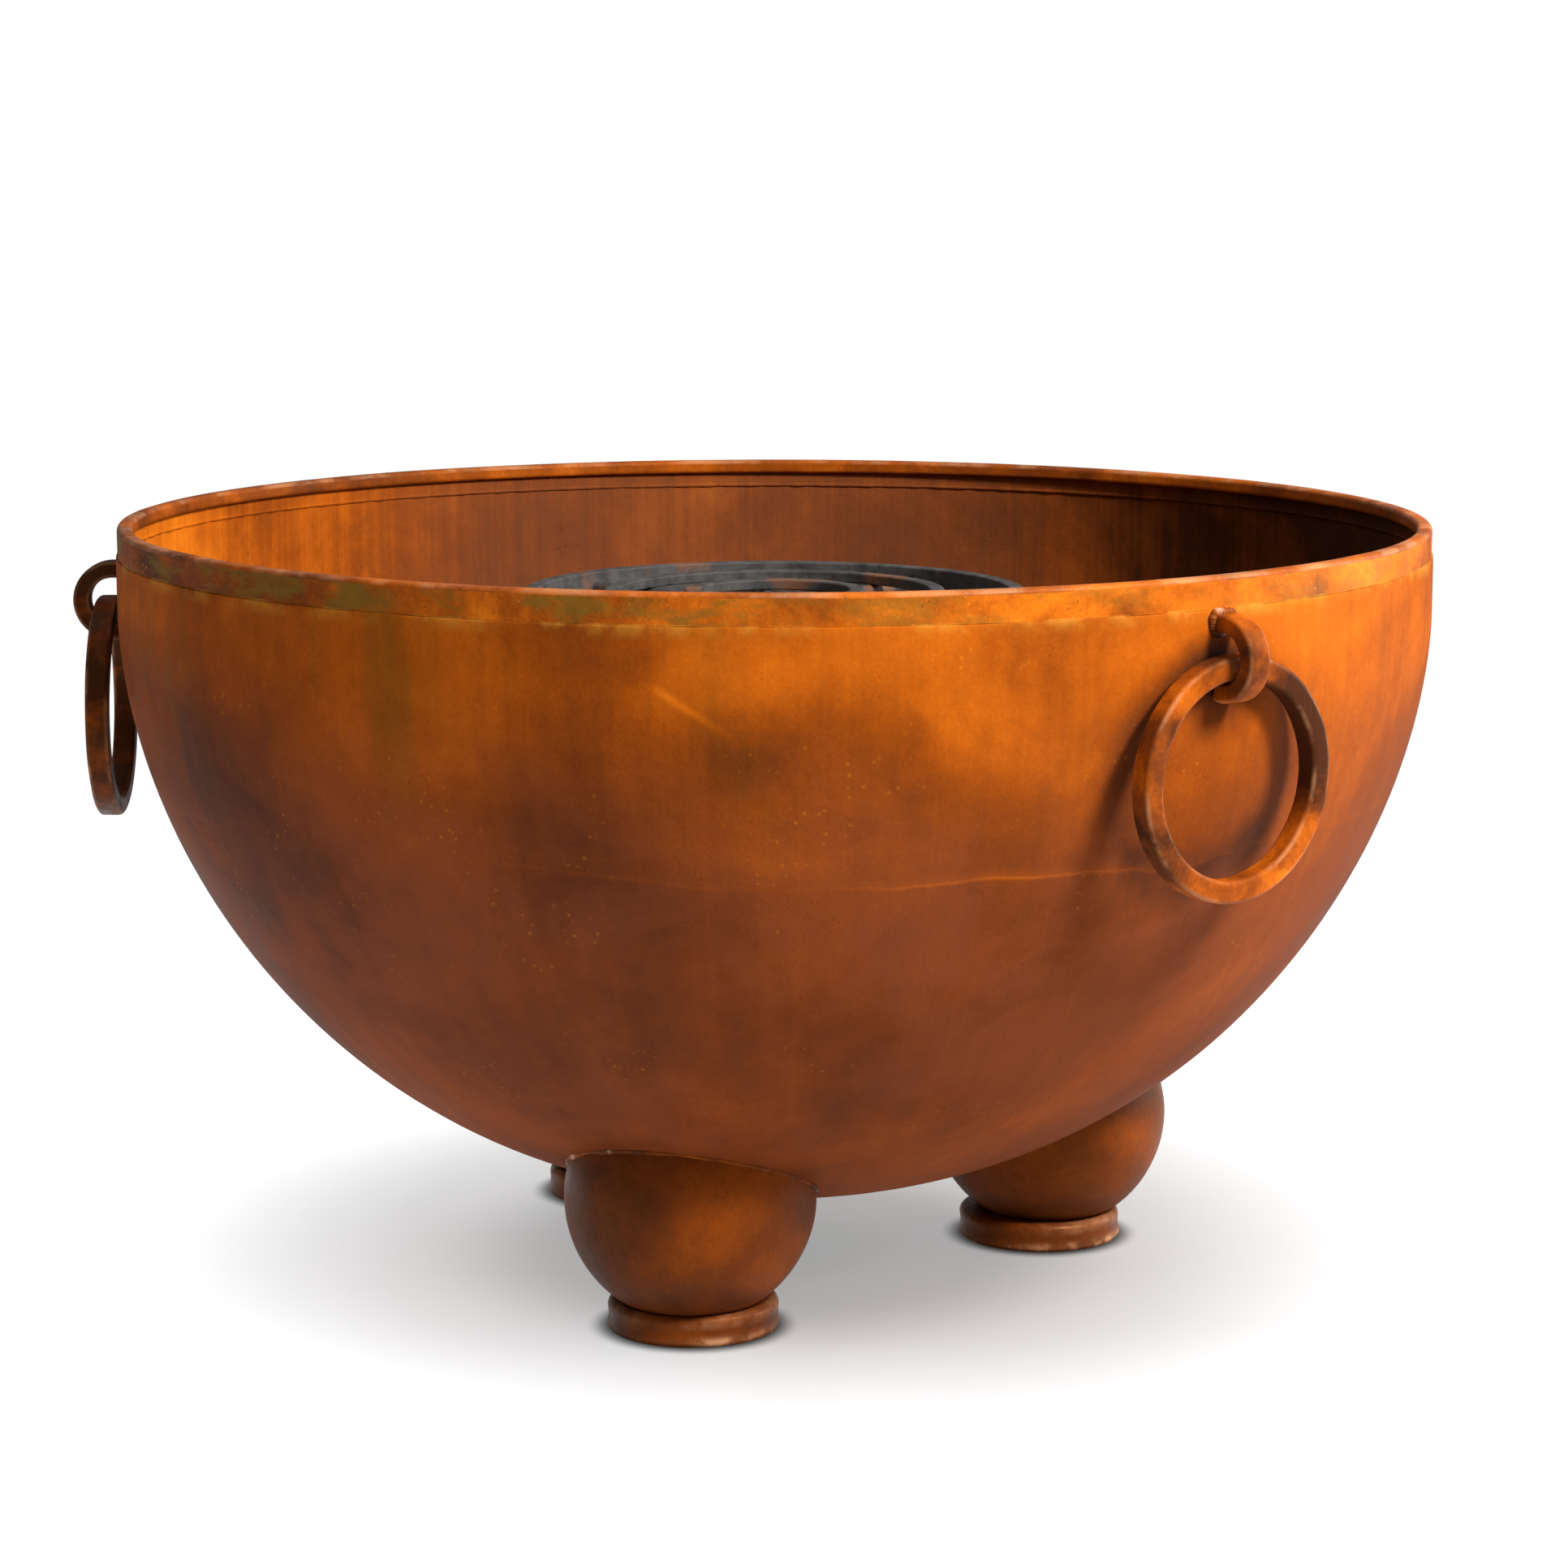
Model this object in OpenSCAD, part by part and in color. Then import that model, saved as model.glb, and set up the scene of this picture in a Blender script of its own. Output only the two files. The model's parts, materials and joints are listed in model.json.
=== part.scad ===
// Round plate-steel fire pit on three cup feet, with ring handles, a gas ring burner and a lift-out grate.
// Millimetres. +Z is up, the origin is on the ground under the bowl's centre, and the first foot points to -Y.

/* [Bowl] */
// Outside diameter of the bowl
bowl_d = 1040; // [1020:5:1060]
// Height of the rim's top above the ground
rim_z = 602; // [600:1:612]
// Thickness of the bowl plate
plate = 6; // [5:0.5:7]
// Depth of the dome below the straight flange
dome_depth = 474; // [470:1:476]
// Fullness of the dome towards its side
side_power = 2.16; // [2.1:0.01:2.2]
// Fullness of the dome towards its crown
crown_power = 1.83; // [1.8:0.01:1.9]
// Radius of the rain drain at the bottom
drain_r = 19; // [17:1:22]

/* [Rim] */
// Radial width of the ring on the rim
rim_w = 13; // [12:1:15]
// Height of the ring on the rim
rim_h = 12; // [10:1:13]
// Height of the rolled band under the ring
band_h = 11; // [10:1:14]
// Step from the dome plate in to the band
band_step = 1; // [0.5:0.5:1.5]
// Height of the dome's straight flange
flange_h = 42; // [41:1:44]

/* [Feet] */
// Places of the feet round the bowl, in degrees from the front
foot_angles = [0, 118.5, 231];
// Radius of the circle that the foot rings stand on
foot_circle_r = 225; // [220:1:230]
// Outside radius of the round foot cup
cup_r = 97; // [95:1:98]
// Height of the cup's centre
cup_z = 104; // [102:1:106]
// How far the cup sits outside its ring's centre
cup_shift = 6; // [4:1:7]
// Thickness of the cup
cup_wall = 5; // [4:0.5:6]
// Outside radius of the foot ring
foot_ring_r = 67; // [64:1:70]
// Radial width of the foot ring
foot_ring_w = 25; // [22:1:26]
// Height of the foot ring
foot_ring_h = 24; // [20:1:25]

/* [Handles] */
// Places of the handles round the bowl, in degrees from the front
handle_angles = [53.5, 170, 287];
// How far the centre of each hook's curl lies below the rim
hook_drops = [57.5, 61, 66];
// Distance from the bowl plate to the centre of the hook's curl
hook_gap = 7.5; // [7:0.5:9]
// Outside radius of the hook's curl
hook_r = 31.5; // [31.5:0.5:33]
// Thickness of the hook's bar
hook_bar = 13.5; // [12.5:0.5:13.5]
// Width of the hook's bar
hook_w = 20; // [18:1:20]
// Outside radius of the ring handle
handle_r = 88.5; // [85:0.5:90]
// Radial thickness of the ring handle
handle_bar = 16.5; // [15:0.5:16.5]
// Depth of the ring handle along its axis
handle_w = 18; // [16:1:18]

/* [Burner] */
// Height of the stand's ring plate below the rim
stand_drop = 82; // [80:1:90]
// Radius of the circle of legs
leg_circle_r = 194; // [192:1:196]
// Radius of a leg
leg_r = 7; // [6:0.5:7]
// Outside radius of the burner pan's wall
pan_r = 171; // [168:1:172]
// Depth of the burner pan
pan_depth = 58; // [56:1:60]
// Radius of the outer burner ring's centre line
outer_ring_r = 145; // [138:1:146]
// Radius of the inner burner ring's centre line
inner_ring_r = 76; // [70:1:80]
// Flame ports in the outer burner ring
outer_ports = 28; // [20:4:32]
// Flame ports in the inner burner ring
inner_ports = 16; // [12:4:20]
// Radius of the gas pipe
pipe_r = 10.65; // [10:0.05:10.65]

/* [Grate] */
// Outside radius of the grate
grate_r = 200; // [198:1:202]
// Height of the grate's hoop
grate_h = 24; // [22:1:26]
// Outside radius of the middle ring
mid_ring_r = 136; // [130:1:140]
// Number of radial bars
grate_bar_count = 8; // [6:1:10]
// Radius of a radial bar
grate_bar_r = 6; // [5:0.5:6]

/* [Hidden] */
$fn = 96;

rust = "#9c4f1f";
dark_rust = "#5f2f18";
weld_brown = "#6f4a34";
black_steel = "#2e2a28";
stainless = "#a9a7a2";
brass = "#b08d4a";
lava = "#3a2f2b";

bowl_r = bowl_d / 2;
band_z = rim_z - rim_h;
seam_z = band_z - band_h;
dome_z = seam_z - flange_h;
dome_steps = 40;

hook_in_r = hook_r - hook_bar;
hook_centre_r = bowl_r + hook_gap;
hook_tip_angle = 250;
handle_gap = 0.4;
handle_corner_r = 3.5;
// How far the bar's round corners and its curve reach from the middle of its section as the ring swings
handle_reach = norm([handle_w / 2 - handle_corner_r, handle_bar / 2 - handle_corner_r]) + handle_corner_r;
handle_sag = pow(hook_w / 2, 2) / (2 * (handle_r - handle_bar));
// The ring swings about the middle of its bar's section, just clear of the bowl and of the hook's curl
pivot_r = bowl_r + handle_reach + handle_gap;
pivot_drop = sqrt(pow(hook_in_r - handle_reach - handle_sag - handle_gap, 2) - pow(pivot_r - hook_centre_r, 2));

weld_leg = 4;

stand_z = rim_z - stand_drop;
stand_plate = 8;
stand_in_r = pan_r + 3;
stand_out_r = 204;
brace_r = 5;
brace_z = 300;
leg_start = 30;

pan_sheet = 2.5;
pan_lip = 14;
pan_floor_z = stand_z - pan_depth;
tube_r = 11;
tube_wall = 2;
tube_z = pan_floor_z + 37;
spoke_r = 8;
spoke_bore_r = 6;
port_r = 1.6;
hub_r = 24;
hub_h = 36;
hub_z = tube_z - 24;
hub_socket = 12;
nut_r = 17;
nut_h = 8;
slip = 0.05;
lava_top = tube_z - tube_r - 1.5;

elbow_z = 30;
elbow_bend = 22;
elbow_r = 13;
socket_r = 15.5;
elbow_socket = 8;
socket_lap = 2;
pipe_bore_r = 8;
shank_r = 9.8;
inlet_length = 32;
inlet_chamfer = 1.5;
inlet_y = elbow_bend + elbow_socket;

bar_z = stand_z + pan_sheet + 1 + grate_bar_r;
ring_z = bar_z + grate_bar_r;
grate_top = stand_z + grate_h;
hoop_w = 12;
mid_w = 12;
grate_hub_r = 28;
inner_grate_r = 72;

// Points along an arc from angle a0 to a1
function arc(centre, r, a0, a1, steps = 6) =
    [for (i = [0:steps]) centre + r * [cos(a0 + (a1 - a0) * i / steps), sin(a0 + (a1 - a0) * i / steps)]];

// Outline of a rectangle with round corners
function round_box(x0, x1, y0, y1, r) = concat(
    arc([x1 - r, y0 + r], r, -90, 0), arc([x1 - r, y1 - r], r, 0, 90),
    arc([x0 + r, y1 - r], r, 90, 180), arc([x0 + r, y0 + r], r, 180, 270));

// Radius of the dome at step t degrees, and how far below its top that is, with the outline moved out by grow
function dome_point(t, grow) =
    [(bowl_r + grow) * pow(cos(t), 2 / side_power), dome_z - (dome_depth + grow) * pow(sin(t), 2 / crown_power)];

// The dome's outline from the flange down to radius stop_r
function dome_line(grow, stop_r) =
    [for (i = [0:dome_steps]) let (p = dome_point(90 * i / dome_steps, grow)) if (p[0] > stop_r + 4) p];

function dome_low_z(r, grow) =
    dome_z - (dome_depth + grow) * pow(1 - pow(r / (bowl_r + grow), side_power), 1 / crown_power);

module around(angle, r = 0) {
    rotate([0, 0, angle]) translate([0, -r, 0]) children();
}

// Everything inside the dome's outer face moved out by grow, up to height top
module bowl_solid(grow, top) {
    rotate_extrude($fn = 360) polygon(concat(
        [[0, top], [bowl_r + grow, top]], dome_line(grow, 0), [[0, dome_z - dome_depth - grow]]));
}

module bowl_shell() {
    inside = dome_line(-plate, drain_r);
    color(rust) rotate_extrude() polygon(concat(
        [[bowl_r - plate, seam_z], [bowl_r, seam_z]],
        dome_line(0, drain_r), [[drain_r, dome_low_z(drain_r, 0)], [drain_r, dome_low_z(drain_r, -plate)]],
        [for (i = [len(inside) - 1:-1:0]) inside[i]]));
}

module rim_band() {
    out_r = bowl_r - band_step;
    color(rust) rotate_extrude() translate([out_r - plate, seam_z]) square([plate, band_h]);
}

module rim_ring() {
    color(rust) rotate_extrude()
        polygon(round_box(bowl_r - rim_w, bowl_r - band_step, band_z, rim_z, 3.5));
}

// Bead in the step between band and dome plate, on the inside
module seam_weld() {
    band_in = bowl_r - band_step - plate;
    shell_in = bowl_r - plate;
    color(weld_brown) rotate_extrude() polygon([
        [band_in, seam_z], [shell_in, seam_z], [shell_in, seam_z - weld_leg],
        [band_in - 1.5, seam_z], [band_in, seam_z + weld_leg]]);
}

module cup_ball(r) {
    translate([0, -cup_shift, cup_z]) sphere(r);
}

module foot_cup(i) {
    color(rust) difference() {
        around(foot_angles[i], foot_circle_r) cup_ball(cup_r);
        around(foot_angles[i], foot_circle_r) cup_ball(cup_r - cup_wall);
        bowl_solid(0, seam_z);
    }
}

// Rolled bar with round edges and a slight waist, coped to the cup
module foot_ring(i) {
    waist = 1.2;
    r_in = foot_ring_r - foot_ring_w;
    foot_edge = 4;
    crest = 6;
    crest_r = foot_ring_r - 0.7;
    color(dark_rust) around(foot_angles[i], foot_circle_r) difference() {
        rotate_extrude() polygon(concat(
            [[r_in, 0], [foot_ring_r - foot_edge / 2, 0]],
            arc([foot_ring_r - foot_edge, foot_edge], foot_edge, -60, 20),
            [[foot_ring_r - waist, foot_ring_h / 2]],
            arc([crest_r - crest, foot_ring_h - crest], crest, -10, 90),
            arc([r_in + crest, foot_ring_h - crest], crest, 90, 180)));
        cup_ball(cup_r);
    }
}

// Bead round the cup where it meets the bowl
module foot_weld(i) {
    color(weld_brown) difference() {
        intersection() {
            around(foot_angles[i], foot_circle_r) cup_ball(cup_r + weld_leg);
            bowl_solid(weld_leg, dome_z);
        }
        around(foot_angles[i], foot_circle_r) cup_ball(cup_r);
        bowl_solid(0, seam_z);
    }
}

// Bar with a straight root, and a curl whose tip turns back under the ring
module hook_curl(i) {
    around(handle_angles[i], hook_centre_r) translate([0, 0, rim_z - hook_drops[i]]) rotate([90, 0, -90])
        linear_extrude(hook_w, center = true) {
            difference() {
                circle(hook_r);
                circle(hook_in_r);
                polygon([
                    [0, hook_r], [0, 0], 2 * hook_r * [cos(hook_tip_angle), sin(hook_tip_angle)],
                    [-2 * hook_r, -2 * hook_r], [-2 * hook_r, 2 * hook_r], [0, 2 * hook_r]]);
            }
            translate([-hook_gap - hook_bar, hook_in_r]) square([hook_gap + hook_bar, hook_bar]);
        }
}

module handle_hook(i) {
    color(dark_rust) difference() {
        hook_curl(i);
        bowl_solid(0, band_z);
    }
}

// Bead round the hook's root
module hook_weld(i) {
    side = 3;
    color(weld_brown) difference() {
        around(handle_angles[i], bowl_r)
            translate([0, 0, rim_z - hook_drops[i] + (hook_in_r + hook_r) / 2])
            cube([hook_w + 2 * side, 2 * weld_leg, hook_bar + 2 * side], center = true);
        hook_curl(i);
        bowl_solid(0, band_z);
    }
}

module handle_ring(i) {
    hang = pivot_drop + handle_r - handle_bar / 2;
    color(dark_rust) around(handle_angles[i], pivot_r) translate([0, 0, rim_z - hook_drops[i] - hang])
        rotate([90, 0, 0]) rotate_extrude()
        polygon(round_box(handle_r - handle_bar, handle_r, -handle_w / 2, handle_w / 2, handle_corner_r));
}

module stand_ring() {
    color(black_steel) rotate_extrude() translate([stand_in_r, stand_z - stand_plate])
        square([stand_out_r - stand_in_r, stand_plate]);
}

// Legs cut to the curve of the bowl's floor
module stand_legs() {
    color(black_steel) for (i = [0:2]) intersection() {
        around(leg_start + 120 * i, leg_circle_r) translate([0, 0, dome_z - dome_depth])
            cylinder(r = leg_r, h = stand_z - stand_plate - dome_z + dome_depth);
        bowl_solid(-plate, seam_z);
    }
}

module stand_brace() {
    color(black_steel) translate([0, 0, brace_z]) rotate_extrude()
        translate([leg_circle_r - leg_r - brace_r, 0]) circle(brace_r);
}

module burner_pan() {
    floor_top = pan_floor_z + pan_sheet;
    hole_r = pipe_r + 1;
    color(stainless) rotate_extrude() polygon([
        [hole_r, pan_floor_z], [pan_r, pan_floor_z], [pan_r, stand_z], [pan_r + pan_lip, stand_z],
        [pan_r + pan_lip, stand_z + pan_sheet], [pan_r - pan_sheet, stand_z + pan_sheet],
        [pan_r - pan_sheet, floor_top], [hole_r, floor_top]]);
}

module lava_bed() {
    floor_top = pan_floor_z + pan_sheet;
    r_in = hub_r + 3;
    color(lava) rotate_extrude() translate([r_in, floor_top])
        square([pan_r - pan_sheet - 1 - r_in, lava_top - floor_top]);
}

module tube_ring(r, thick) {
    translate([0, 0, tube_z]) rotate_extrude() translate([r, 0]) circle(thick);
}

module port_holes(r, count) {
    for (i = [0:count - 1]) rotate([0, 0, 360 * i / count]) translate([r, 0, tube_z + tube_r / 2])
        cylinder(r = port_r, h = tube_r, $fn = 16);
}

module spoke_holes(r0, r1) {
    for (i = [0:3]) rotate([0, 90, 90 * i + 45]) translate([-tube_z, 0, r0])
        cylinder(r = spoke_bore_r, h = r1 - r0);
}

module burner_ring(r, ports, spoke_r0, spoke_r1) {
    color(stainless) difference() {
        tube_ring(r, tube_r);
        tube_ring(r, tube_r - tube_wall);
        port_holes(r, ports);
        spoke_holes(spoke_r0, spoke_r1);
    }
}

module burner_outer_ring() {
    burner_ring(outer_ring_r, outer_ports, outer_ring_r - tube_r - 2, outer_ring_r);
}

module burner_inner_ring() {
    burner_ring(inner_ring_r, inner_ports, inner_ring_r - tube_r - 2, inner_ring_r + tube_r + 2);
}

// Feed tubes from the hub to both burner rings
module burner_spokes() {
    color(stainless) difference() {
        for (i = [0:3]) rotate([0, 90, 90 * i + 45]) translate([-tube_z, 0, hub_r - 2])
            cylinder(r = spoke_r, h = outer_ring_r - hub_r);
        translate([0, 0, hub_z]) cylinder(r = hub_r, h = hub_h);
        tube_ring(outer_ring_r, tube_r);
        tube_ring(inner_ring_r, tube_r);
        spoke_holes(hub_r - 4, outer_ring_r);
    }
}

module burner_hub() {
    color(stainless) difference() {
        translate([0, 0, hub_z]) cylinder(r = hub_r, h = hub_h);
        translate([0, 0, hub_z - 1]) cylinder(r = pipe_r + slip, h = hub_socket + 1);
        translate([0, 0, hub_z]) cylinder(r = pipe_bore_r, h = hub_h - 4);
        spoke_holes(pipe_bore_r / 2, hub_r + 2);
    }
}

module pan_locknuts() {
    color(brass) for (z = [pan_floor_z - nut_h, pan_floor_z + pan_sheet]) translate([0, 0, z]) difference() {
        cylinder(r = nut_r, h = nut_h, $fn = 6);
        translate([0, 0, -1]) cylinder(r = pipe_r + slip, h = nut_h + 2);
    }
}

// Upright pipe from the elbow to the burner's hub
module gas_riser() {
    low = elbow_z + elbow_bend;
    color(black_steel) difference() {
        translate([0, 0, low]) cylinder(r = pipe_r, h = hub_z + hub_socket - low);
        translate([0, 0, low - 1]) cylinder(r = pipe_bore_r, h = hub_z + 14 - low);
    }
}

// Quarter bend from the riser round to the inlet
module pipe_bend(r) {
    translate([0, elbow_bend, elbow_z + elbow_bend]) rotate([90, 0, 90]) rotate([0, 0, 180])
        rotate_extrude(angle = 90) translate([elbow_bend, 0]) circle(r);
}

module gas_elbow() {
    color(black_steel) difference() {
        union() {
            translate([0, 0, elbow_z + elbow_bend - socket_lap])
                cylinder(r = socket_r, h = elbow_socket + socket_lap);
            translate([0, elbow_bend - socket_lap, elbow_z]) rotate([-90, 0, 0])
                cylinder(r = socket_r, h = elbow_socket + socket_lap);
            pipe_bend(elbow_r);
        }
        translate([0, 0, elbow_z + elbow_bend]) cylinder(r = pipe_r + slip, h = elbow_socket + 1);
        translate([0, elbow_bend, elbow_z]) rotate([-90, 0, 0])
            cylinder(r = shank_r + slip, h = elbow_socket + 1);
        pipe_bend(pipe_bore_r);
    }
}

// Pipe end that the supply hose screws onto, with a narrower shank in the elbow
module gas_inlet() {
    color(brass) translate([0, elbow_bend, elbow_z]) rotate([-90, 0, 0]) rotate_extrude() polygon([
        [pipe_bore_r, 0], [shank_r, 0], [shank_r, elbow_socket], [pipe_r, elbow_socket],
        [pipe_r, elbow_socket + inlet_length - inlet_chamfer],
        [pipe_r - inlet_chamfer, elbow_socket + inlet_length], [pipe_bore_r, elbow_socket + inlet_length]]);
}

module grate_hoop() {
    color(black_steel) rotate_extrude() polygon(round_box(grate_r - hoop_w, grate_r, stand_z, grate_top, 1.5));
}

module grate_ring(r) {
    color(black_steel) rotate_extrude() polygon(round_box(r - mid_w, r, ring_z, grate_top, 1.5));
}

module grate_bars() {
    color(black_steel) difference() {
        intersection() {
            for (i = [0:grate_bar_count - 1]) rotate([0, 90, 360 * (i + 0.5) / grate_bar_count])
                translate([-bar_z, 0, grate_hub_r - 2]) cylinder(r = grate_bar_r, h = grate_r);
            translate([0, 0, stand_z]) cylinder(r = grate_r - hoop_w, h = grate_h);
        }
        translate([0, 0, stand_z]) cylinder(r = grate_hub_r, h = grate_h);
    }
}

module grate_hub() {
    color(black_steel) translate([0, 0, bar_z - grate_bar_r]) cylinder(r = grate_hub_r, h = 2 * grate_bar_r);
}

bowl_shell();
rim_band();
rim_ring();
seam_weld();
for (i = [0:2]) {
    foot_cup(i);
    foot_ring(i);
    foot_weld(i);
    handle_hook(i);
    hook_weld(i);
    handle_ring(i);
}
stand_ring();
stand_legs();
stand_brace();
burner_pan();
lava_bed();
burner_outer_ring();
burner_inner_ring();
burner_spokes();
burner_hub();
pan_locknuts();
gas_riser();
gas_elbow();
gas_inlet();
grate_hoop();
grate_ring(mid_ring_r);  // grate_mid_ring
grate_ring(inner_grate_r);  // grate_inner_ring
grate_bars();
grate_hub();
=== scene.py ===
"""Looks, lights and camera for the fire pit with grate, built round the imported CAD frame. Metres, +Z up."""

import json
import math

import bmesh
import bpy
from mathutils import Matrix, Vector, noise


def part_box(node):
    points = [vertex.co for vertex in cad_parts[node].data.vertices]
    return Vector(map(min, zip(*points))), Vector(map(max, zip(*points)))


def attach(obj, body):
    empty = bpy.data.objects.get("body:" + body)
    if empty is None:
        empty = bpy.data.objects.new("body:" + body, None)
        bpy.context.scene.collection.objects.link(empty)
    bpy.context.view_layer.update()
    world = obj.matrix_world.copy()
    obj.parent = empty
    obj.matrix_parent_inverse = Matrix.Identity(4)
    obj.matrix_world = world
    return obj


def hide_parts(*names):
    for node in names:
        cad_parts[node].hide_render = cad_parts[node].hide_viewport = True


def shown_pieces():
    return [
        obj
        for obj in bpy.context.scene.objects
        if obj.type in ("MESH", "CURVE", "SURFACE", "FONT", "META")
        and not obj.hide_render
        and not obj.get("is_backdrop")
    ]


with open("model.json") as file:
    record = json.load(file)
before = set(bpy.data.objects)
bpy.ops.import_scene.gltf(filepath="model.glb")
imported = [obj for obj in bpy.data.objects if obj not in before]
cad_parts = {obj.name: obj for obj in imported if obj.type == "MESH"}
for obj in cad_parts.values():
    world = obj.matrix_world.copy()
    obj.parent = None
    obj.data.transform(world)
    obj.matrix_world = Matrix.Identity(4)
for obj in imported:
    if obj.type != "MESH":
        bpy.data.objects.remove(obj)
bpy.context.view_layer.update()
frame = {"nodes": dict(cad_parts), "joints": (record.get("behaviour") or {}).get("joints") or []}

MM = 0.001
TURN = 2 * math.pi
UP = Vector((0, 0, 1))

# ---------------------------------------------------------------- sizes, from the frame and from the design
# Bowl and rim
shell_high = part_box("bowl_shell")[1]
BOWL_R = shell_high.x
SEAM_Z = shell_high.z
BAND_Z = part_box("rim_band")[1].z
RIM_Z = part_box("rim_ring")[1].z
PLATE = 6 * MM
FLANGE = 42 * MM
DOME_Z = SEAM_Z - FLANGE
DOME_DEPTH = 474 * MM
# The dome's outline: (radius / BOWL_R) ** SIDE_POWER + (depth / DOME_DEPTH) ** CROWN_POWER = 1
SIDE_POWER = 2.16
CROWN_POWER = 1.83
DRAIN_R = 19 * MM
BAND_STEP = 1 * MM
RIM_WIDTH = 13 * MM
RIM_CORNER = 3.5 * MM
DOME_STEPS = 64
FLANGE_STEPS = 8
BAND_STEPS = 8
BOWL_SEGMENTS = 320
RIM_SEGMENTS = 360

# The feet and the handles are numbered alike
NUMBERS = (1, 2, 3)

# Feet: a hollow ball on a ring. CUP_SINK is how far the ball goes into the bowl's plate
CUP_R = 97 * MM
CUP_WALL = 5 * MM
CUP_Z = 104 * MM
CUP_SHIFT = 6 * MM
CUP_SINK = 1.5 * MM
FOOT_RING_R = 67 * MM
FOOT_RING_W = 25 * MM
FOOT_RING_H = 24 * MM

# Hooks and ring handles
HOOK_R = 31.5 * MM
HOOK_BAR = 13.5 * MM
HOOK_MIDDLE_R = HOOK_R - HOOK_BAR / 2
HOOK_W = 20 * MM
HOOK_CORNER = 3.2 * MM
HOOK_GAP = 7.5 * MM
HOOK_ROOT = 3 * MM
HOOK_START = math.radians(90)
HOOK_TIP = math.radians(-110)
HANDLE_R = 88.5 * MM
HANDLE_BAR = 16.5 * MM
HANDLE_MIDDLE_R = HANDLE_R - HANDLE_BAR / 2
HANDLE_W = 18 * MM
HANDLE_CORNER = 3.5 * MM
HINGES = {j["child"]: Vector(j["pos_m"]) for j in frame["joints"] if j["child"].startswith("handle")}

# Burner and lava bed
BURNER_Z = (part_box("burner_outer_ring")[0].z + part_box("burner_outer_ring")[1].z) / 2
TUBE_R = 11 * MM
OUTER_RING_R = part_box("burner_outer_ring")[1].x - TUBE_R
INNER_RING_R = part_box("burner_inner_ring")[1].x - TUBE_R
SPOKE_R = 8 * MM
SPOKE_ANGLES = [math.radians(45 + 90 * i) for i in range(4)]
LAVA_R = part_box("lava_bed")[1].x
LAVA_IN_R = 32 * MM
STONE_R = 9 * MM
# Each layer of stones: height of their middles above the bed's floor, and how many places it has
LAVA_LAYERS = ((8.5 * MM, 300), (17.5 * MM, 270))

# The photograph's view, as a pinhole camera
VIEW_BEARING = math.radians(16.2)
VIEW_DISTANCE = 3.341
VIEW_HEIGHT = 0.9407
VIEW_PITCH = 0.1647
LENS = 96.5
SENSOR = 36
SHIFT_X = 0.006

# The stage
FLOOR_R = 4.0
SURROUND_R = 24
LIGHTS_AIM = Vector((0, 0, 0.35))


# ---------------------------------------------------------------- mesh code
def bearing_point(bearing, radius, z=0.0):
    """A point at a bearing from the front (-Y), turning towards +X."""
    return Vector((radius * math.sin(bearing), -radius * math.cos(bearing), z))


def level_out(point):
    """The direction out from the bowl's axis at a point, level."""
    return Vector((point.x, point.y, 0)).normalized()


def uneven(point):
    """Smooth noise about 0, in three octaves."""
    return noise.fractal(point, 1.0, 2.0, 3)


def wobble(point, scale, depth, inset=0.0, seed=0.0):
    """Unevenness of a forged or spun surface, by about depth either way, set back by inset."""
    return depth * uneven(point * scale + Vector((seed, seed, seed))) - inset


def grid_mesh(name, rows, closed_rows, closed_columns, wear=None, caps=False):
    """A mesh over a grid of points, rows[i][j], closed round either way."""
    height, width = len(rows), len(rows[0])
    points = [p for row in rows for p in row]
    faces = []
    for i in range(height if closed_rows else height - 1):
        k = (i + 1) % height
        for j in range(width if closed_columns else width - 1):
            n = (j + 1) % width
            faces.append((i * width + j, i * width + n, k * width + n, k * width + j))
    if caps:
        faces.append(tuple(reversed(range(width))))
        faces.append(tuple((height - 1) * width + j for j in range(width)))
    mesh = bpy.data.meshes.new(name)
    mesh.from_pydata(points, [], faces)
    if wear is not None:
        layer = mesh.attributes.new("wear", "FLOAT", "POINT")
        layer.data.foreach_set("value", [w for row in wear for w in row])
    mesh.update()
    return mesh


def show(name, data):
    """Puts a mesh, a light or a camera into the scene."""
    piece = bpy.data.objects.new(name, data)
    bpy.context.scene.collection.objects.link(piece)
    return piece


def add_piece(name, mesh, body, materials, replaces, sharp=40):
    """Shows a mesh as a piece that rides on a CAD body and stands in for CAD nodes."""
    for material in materials:
        mesh.materials.append(material)
    mesh.shade_smooth()
    mesh.set_sharp_from_angle(angle=math.radians(sharp))
    piece = show(name, mesh)
    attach(piece, body)
    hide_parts(*replaces)


def fix_normals(mesh, merge=False):
    """Turns every face outwards. merge first joins points that fall together, as at a ball's pole."""
    work = bmesh.new()
    work.from_mesh(mesh)
    if merge:
        bmesh.ops.remove_doubles(work, verts=work.verts, dist=1e-6)
        bmesh.ops.dissolve_degenerate(work, edges=work.edges, dist=1e-7)
    bmesh.ops.recalc_face_normals(work, faces=work.faces)
    work.to_mesh(mesh)
    work.free()


def revolve(name, outline, segments, reshape, place=Matrix.Identity(4)):
    """Turns an outline of (radius, height, wear) round Z. reshape(point, outward, wear) moves its points."""
    rows = []
    for i in range(segments):
        x, y = math.cos(TURN * i / segments), math.sin(TURN * i / segments)
        outward = Vector((x, y, 0))
        rows.append([place @ reshape(Vector((r * x, r * y, z)), outward, worn) for r, z, worn in outline])
    wear = [worn for _, _, worn in outline]
    mesh = grid_mesh(name, rows, True, True, [wear] * segments)
    fix_normals(mesh)
    return mesh


def second_material(mesh, count, places):
    """Gives the second material to some of the faces in each round of count faces."""
    for index, face in enumerate(mesh.polygons):
        face.material_index = 1 if index % count in places else 0


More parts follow.
